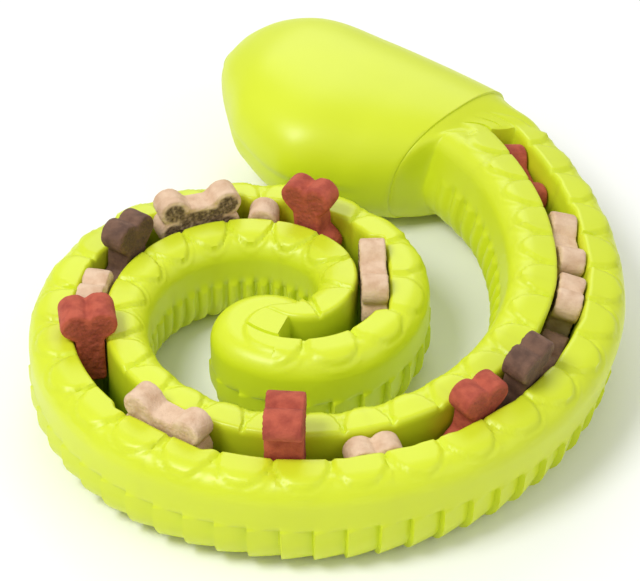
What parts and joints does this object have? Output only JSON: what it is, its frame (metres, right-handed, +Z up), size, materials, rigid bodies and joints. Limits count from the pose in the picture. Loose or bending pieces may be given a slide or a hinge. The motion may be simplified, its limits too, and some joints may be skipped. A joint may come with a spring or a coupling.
{
  "type": "snake treat puzzle",
  "caption": "Coiled soft rubber snake with a deep open groove along its back that grips bone-shaped biscuits, a puzzle feeder for dogs.",
  "frame": {"origin": "centre of the bounding box on the ground plane", "axes": "+Z up out of the open groove, +Y from the front of the coil to the head, +X to the right"},
  "size_m": [0.1844, 0.2323, 0.049],
  "materials": {
    "green_rubber": "satin",
    "red_biscuit": "matt",
    "tan_biscuit": "matt",
    "brown_biscuit": "matt"
  },
  "bodies": {
    "tail_link": {"tail_section": "green_rubber"},
    "link_01": {"body_section_01": "green_rubber"},
    "link_02": {"body_section_02": "green_rubber"},
    "link_03": {"body_section_03": "green_rubber"},
    "link_04": {"body_section_04": "green_rubber"},
    "link_05": {"body_section_05": "green_rubber"},
    "link_06": {"body_section_06": "green_rubber"},
    "link_07": {"body_section_07": "green_rubber"},
    "link_08": {"body_section_08": "green_rubber"},
    "link_09": {"body_section_09": "green_rubber"},
    "link_10": {"body_section_10": "green_rubber"},
    "link_11": {"body_section_11": "green_rubber"},
    "link_12": {"body_section_12": "green_rubber"},
    "link_13": {"body_section_13": "green_rubber"},
    "neck_link": {"neck_section": "green_rubber", "head": "green_rubber"},
    "treat_01": {"biscuit_01_red": "red_biscuit"},
    "treat_02": {"biscuit_02_tan": "tan_biscuit"},
    "treat_03": {"biscuit_03_tan": "tan_biscuit"},
    "treat_04": {"biscuit_04_brown": "brown_biscuit"},
    "treat_05": {"biscuit_05_brown": "brown_biscuit"},
    "treat_06": {"biscuit_06_red": "red_biscuit"},
    "treat_07": {"biscuit_07_tan": "tan_biscuit"},
    "treat_08": {"biscuit_08_red": "red_biscuit"},
    "treat_09": {"biscuit_09_tan": "tan_biscuit"},
    "treat_10": {"biscuit_10_red": "red_biscuit"},
    "treat_11": {"biscuit_11_tan": "tan_biscuit"},
    "treat_12": {"biscuit_12_brown": "brown_biscuit"},
    "treat_13": {"biscuit_13_tan": "tan_biscuit"},
    "treat_14": {"biscuit_14_tan": "tan_biscuit"},
    "treat_15": {"biscuit_15_red": "red_biscuit"},
    "treat_16": {"biscuit_16_tan": "tan_biscuit"}
  },
  "joints": [
    {"name": "uncoil", "type": "hinge", "parent": "neck_link", "child": "link_13", "pos_m": [0.06924, 0.01386, 0.016], "axis": [0, 0, 1], "range_deg": [0, 15], "stiffness_Nm_per_rad": 0.15},
    {"name": "bend_13", "type": "hinge", "parent": "link_13", "child": "link_12", "pos_m": [0.07016, -0.02348, 0.016], "axis": [0, 0, 1], "range_deg": [0, 15.1], "stiffness_Nm_per_rad": 0.15},
    {"name": "bend_12", "type": "hinge", "parent": "link_12", "child": "link_11", "pos_m": [0.06571, -0.04274, 0.016], "axis": [0, 0, 1], "range_deg": [0, 20.1], "stiffness_Nm_per_rad": 0.15},
    {"name": "bend_11", "type": "hinge", "parent": "link_11", "child": "link_10", "pos_m": [0.04365, -0.07694, 0.016], "axis": [0, 0, 1], "range_deg": [0, 24.2], "stiffness_Nm_per_rad": 0.15},
    {"name": "bend_10", "type": "hinge", "parent": "link_10", "child": "link_09", "pos_m": [0.02156, -0.09153, 0.016], "axis": [0, 0, 1], "range_deg": [0, 21.5], "stiffness_Nm_per_rad": 0.15},
    {"name": "bend_09", "type": "hinge", "parent": "link_09", "child": "link_08", "pos_m": [-0.00756, -0.09781, 0.016], "axis": [0, 0, 1], "range_deg": [0, 22.3], "stiffness_Nm_per_rad": 0.15},
    {"name": "bend_08", "type": "hinge", "parent": "link_08", "child": "link_07", "pos_m": [-0.03255, -0.09348, 0.016], "axis": [0, 0, 1], "range_deg": [0, 27.2], "stiffness_Nm_per_rad": 0.15},
    {"name": "bend_07", "type": "hinge", "parent": "link_07", "child": "link_06", "pos_m": [-0.06247, -0.07094, 0.016], "axis": [0, 0, 1], "range_deg": [0, 26.5], "stiffness_Nm_per_rad": 0.15},
    {"name": "bend_06", "type": "hinge", "parent": "link_06", "child": "link_05", "pos_m": [-0.07132, -0.05366, 0.016], "axis": [0, 0, 1], "range_deg": [0, 20.4], "stiffness_Nm_per_rad": 0.15},
    {"name": "bend_05", "type": "hinge", "parent": "link_05", "child": "link_04", "pos_m": [-0.07397, -0.03195, 0.016], "axis": [0, 0, 1], "range_deg": [0, 22.9], "stiffness_Nm_per_rad": 0.15},
    {"name": "bend_04", "type": "hinge", "parent": "link_04", "child": "link_03", "pos_m": [-0.06809, -0.01091, 0.016], "axis": [0, 0, 1], "range_deg": [0, 25], "stiffness_Nm_per_rad": 0.15},
    {"name": "bend_03", "type": "hinge", "parent": "link_03", "child": "link_02", "pos_m": [-0.05321, 0.00662, 0.016], "axis": [0, 0, 1], "range_deg": [0, 32.2], "stiffness_Nm_per_rad": 0.15},
    {"name": "bend_02", "type": "hinge", "parent": "link_02", "child": "link_01", "pos_m": [-0.02419, 0.01578, 0.016], "axis": [0, 0, 1], "range_deg": [0, 45.2], "stiffness_Nm_per_rad": 0.15},
    {"name": "bend_01", "type": "hinge", "parent": "link_01", "child": "tail_link", "pos_m": [0.00807, -0.00127, 0.016], "axis": [0, 0, 1], "range_deg": [0, 57.1], "stiffness_Nm_per_rad": 0.15},
    {"name": "lift_01", "type": "slide", "parent": "neck_link", "child": "treat_01", "axis": [0.2466, 0.0786, 0.9659], "range_m": [0, 0.045]},
    {"name": "lift_02", "type": "slide", "parent": "link_13", "child": "treat_02", "axis": [0.2588, -0.0012, 0.9659], "range_m": [0, 0.045]},
    {"name": "lift_03", "type": "slide", "parent": "link_12", "child": "treat_03", "axis": [0.2511, -0.0581, 0.9662], "range_m": [0, 0.045]},
    {"name": "lift_04", "type": "slide", "parent": "link_11", "child": "treat_04", "axis": [0.1532, -0.0764, 0.9852], "range_m": [0, 0.045]},
    {"name": "lift_05", "type": "slide", "parent": "link_11", "child": "treat_05", "axis": [0.1308, -0.1104, 0.9852], "range_m": [0, 0.045]},
    {"name": "lift_06", "type": "slide", "parent": "link_10", "child": "treat_06", "axis": [0.0431, -0.0596, 0.9973], "range_m": [0, 0.045]},
    {"name": "lift_07", "type": "slide", "parent": "link_09", "child": "treat_07", "axis": [0, 0, 1], "range_m": [0, 0.045]},
    {"name": "lift_08", "type": "slide", "parent": "link_08", "child": "treat_08", "axis": [0, 0, 1], "range_m": [0, 0.045]},
    {"name": "lift_09", "type": "slide", "parent": "link_07", "child": "treat_09", "axis": [0, 0, 1], "range_m": [0, 0.045]},
    {"name": "lift_10", "type": "slide", "parent": "link_05", "child": "treat_10", "axis": [0, 0, 1], "range_m": [0, 0.045]},
    {"name": "lift_11", "type": "slide", "parent": "link_04", "child": "treat_11", "axis": [0, 0, 1], "range_m": [0, 0.045]},
    {"name": "lift_12", "type": "slide", "parent": "link_03", "child": "treat_12", "axis": [0, 0, 1], "range_m": [0, 0.045]},
    {"name": "lift_13", "type": "slide", "parent": "link_02", "child": "treat_13", "axis": [0, 0, 1], "range_m": [0, 0.045]},
    {"name": "lift_14", "type": "slide", "parent": "link_01", "child": "treat_14", "axis": [0, 0, 1], "range_m": [0, 0.045]},
    {"name": "lift_15", "type": "slide", "parent": "link_01", "child": "treat_15", "axis": [0, 0, 1], "range_m": [0, 0.045]},
    {"name": "lift_16", "type": "slide", "parent": "tail_link", "child": "treat_16", "axis": [0, 0, 1], "range_m": [0, 0.045]}
  ],
  "couplings": [
    {"joint": "bend_13", "follows": "uncoil", "ratio": 0.98667},
    {"joint": "bend_12", "follows": "uncoil", "ratio": 1.32},
    {"joint": "bend_11", "follows": "uncoil", "ratio": 1.5933},
    {"joint": "bend_10", "follows": "uncoil", "ratio": 1.4133},
    {"joint": "bend_09", "follows": "uncoil", "ratio": 1.4667},
    {"joint": "bend_08", "follows": "uncoil", "ratio": 1.7933},
    {"joint": "bend_07", "follows": "uncoil", "ratio": 1.7467},
    {"joint": "bend_06", "follows": "uncoil", "ratio": 1.34},
    {"joint": "bend_05", "follows": "uncoil", "ratio": 1.5067},
    {"joint": "bend_04", "follows": "uncoil", "ratio": 1.6467},
    {"joint": "bend_03", "follows": "uncoil", "ratio": 2.1267},
    {"joint": "bend_02", "follows": "uncoil", "ratio": 2.9933},
    {"joint": "bend_01", "follows": "uncoil", "ratio": 3.7867}
  ]
}
